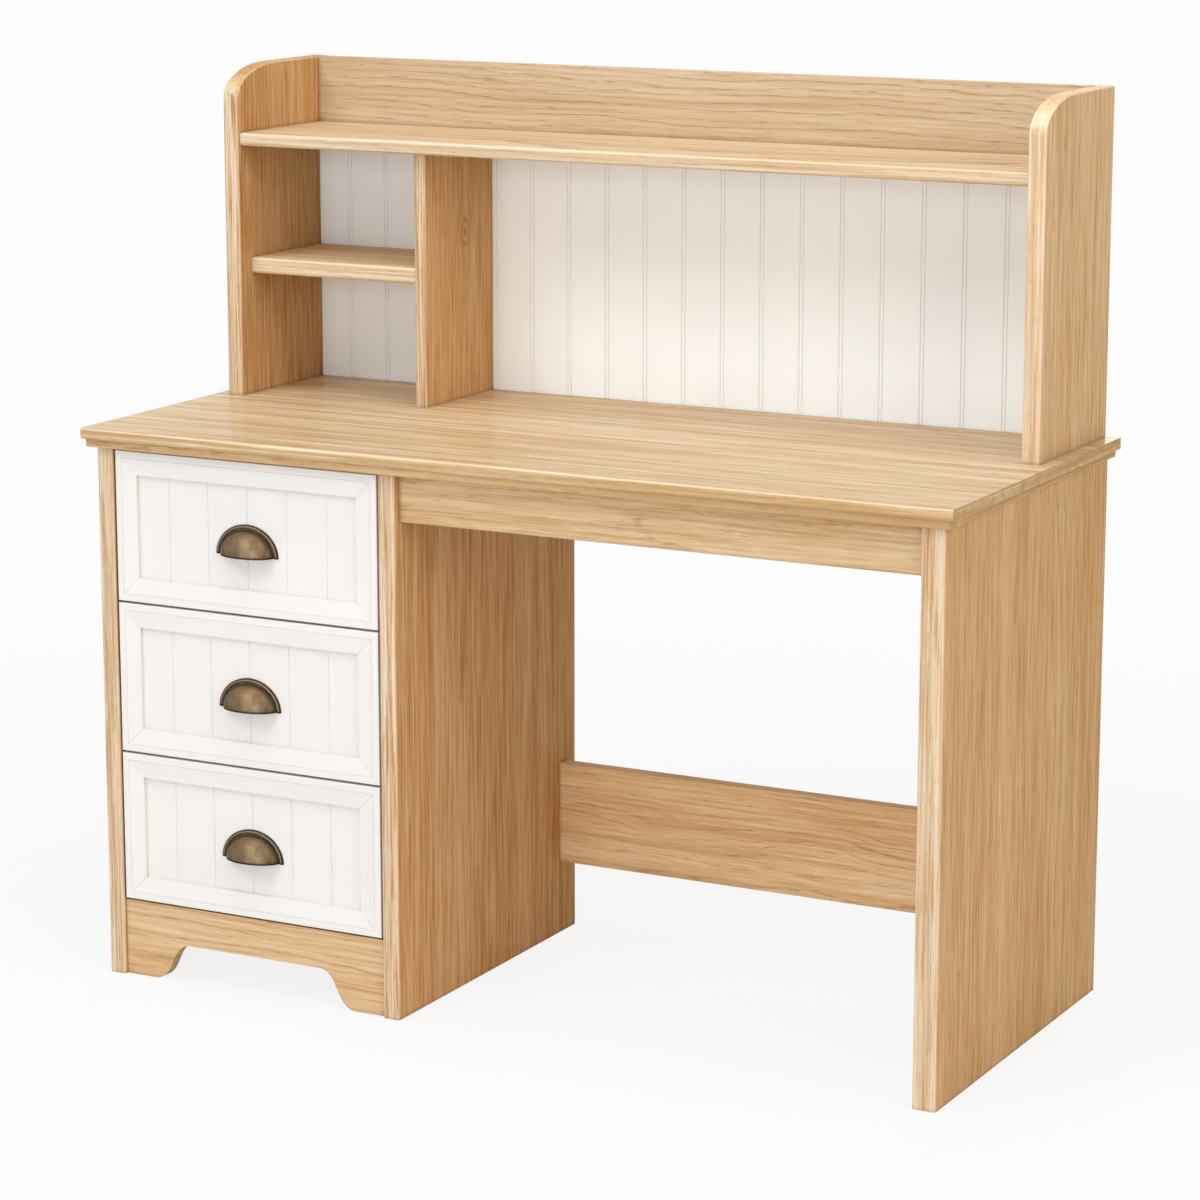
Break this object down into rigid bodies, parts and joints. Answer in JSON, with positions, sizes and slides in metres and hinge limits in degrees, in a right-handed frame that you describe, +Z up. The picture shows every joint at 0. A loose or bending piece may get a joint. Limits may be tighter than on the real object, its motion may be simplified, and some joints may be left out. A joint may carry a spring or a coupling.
{
  "type": "student desk with hutch",
  "caption": "Oak student desk with a kneehole, a pedestal of sliding white drawers with bronze cup pulls, and a shelved hutch with a white beadboard back.",
  "frame": {"origin": "on the floor, under the middle of the desktop", "axes": "+Z up, +X to the right of a person who sits at the desk, +Y to the back"},
  "size_m": [1.25, 0.57, 1.213],
  "materials": {
    "oak_lengthwise": "satin lacquered oak, grain left to right",
    "oak_crosswise": "satin lacquered oak, grain front to back",
    "oak_upright": "satin lacquered oak, grain upright",
    "white_paint": "satin white paint on wood",
    "birch_board": "plain sanded birch board",
    "beech": "fluted beech dowel",
    "aged_bronze": "aged bronze, brushed high spots",
    "zinc_sheet": "zinc plated sheet steel",
    "zinc_fastener": "zinc plated steel",
    "bearing_steel": "polished steel"
  },
  "bodies": {
    "carcass": {"apron_rail": "oak_lengthwise", "cam_bolts": "zinc_fastener", "cam_discs": "zinc_fastener", "desktop": "oak_lengthwise", "front_edge_strip": "oak_lengthwise", "hutch_back_panel": "white_paint", "hutch_divider": "oak_upright", "hutch_left_side": "oak_upright", "hutch_long_shelf": "oak_lengthwise", "hutch_right_side": "oak_upright", "hutch_small_shelf": "oak_lengthwise", "hutch_upper_back_board": "oak_lengthwise", "left_edge_strip": "oak_crosswise", "left_side_panel": "oak_upright", "middle_panel": "oak_upright", "middle_strip": "oak_crosswise", "outer_rail_screws": "zinc_fastener", "outer_slide_rails": "zinc_sheet", "pedestal_back_panel": "birch_board", "pedestal_bottom_panel": "birch_board", "plinth_rail": "oak_lengthwise", "rear_edge_strip": "oak_lengthwise", "right_edge_strip": "oak_crosswise", "right_side_panel": "oak_upright", "stretcher_rail": "oak_lengthwise", "wood_dowels": "beech"},
    "drawer_1": {"drawer_1_back": "birch_board", "drawer_1_bottom": "birch_board", "drawer_1_cup_pull": "aged_bronze", "drawer_1_front": "white_paint", "drawer_1_inner_rails": "zinc_sheet", "drawer_1_left_side": "birch_board", "drawer_1_pull_screws": "zinc_fastener", "drawer_1_rail_screws": "zinc_fastener", "drawer_1_right_side": "birch_board"},
    "drawer_1_cages": {"drawer_1_ball_cages": "zinc_sheet", "drawer_1_slide_balls": "bearing_steel"},
    "drawer_2": {"drawer_2_back": "birch_board", "drawer_2_bottom": "birch_board", "drawer_2_cup_pull": "aged_bronze", "drawer_2_front": "white_paint", "drawer_2_inner_rails": "zinc_sheet", "drawer_2_left_side": "birch_board", "drawer_2_pull_screws": "zinc_fastener", "drawer_2_rail_screws": "zinc_fastener", "drawer_2_right_side": "birch_board"},
    "drawer_2_cages": {"drawer_2_ball_cages": "zinc_sheet", "drawer_2_slide_balls": "bearing_steel"},
    "drawer_3": {"drawer_3_back": "birch_board", "drawer_3_bottom": "birch_board", "drawer_3_cup_pull": "aged_bronze", "drawer_3_front": "white_paint", "drawer_3_inner_rails": "zinc_sheet", "drawer_3_left_side": "birch_board", "drawer_3_pull_screws": "zinc_fastener", "drawer_3_rail_screws": "zinc_fastener", "drawer_3_right_side": "birch_board"},
    "drawer_3_cages": {"drawer_3_ball_cages": "zinc_sheet", "drawer_3_slide_balls": "bearing_steel"}
  },
  "joints": [
    {"name": "drawer_1_slide", "type": "slide", "parent": "carcass", "child": "drawer_1", "axis": [0, -1, 0], "range_m": [0, 0.3]},
    {"name": "drawer_1_cage_slide", "type": "slide", "parent": "carcass", "child": "drawer_1_cages", "axis": [0, -1, 0], "range_m": [0, 0.15]},
    {"name": "drawer_2_slide", "type": "slide", "parent": "carcass", "child": "drawer_2", "axis": [0, -1, 0], "range_m": [0, 0.3]},
    {"name": "drawer_2_cage_slide", "type": "slide", "parent": "carcass", "child": "drawer_2_cages", "axis": [0, -1, 0], "range_m": [0, 0.15]},
    {"name": "drawer_3_slide", "type": "slide", "parent": "carcass", "child": "drawer_3", "axis": [0, -1, 0], "range_m": [0, 0.3]},
    {"name": "drawer_3_cage_slide", "type": "slide", "parent": "carcass", "child": "drawer_3_cages", "axis": [0, -1, 0], "range_m": [0, 0.15]}
  ],
  "couplings": [
    {"joint": "drawer_1_cage_slide", "follows": "drawer_1_slide", "ratio": 0.5},
    {"joint": "drawer_2_cage_slide", "follows": "drawer_2_slide", "ratio": 0.5},
    {"joint": "drawer_3_cage_slide", "follows": "drawer_3_slide", "ratio": 0.5}
  ]
}
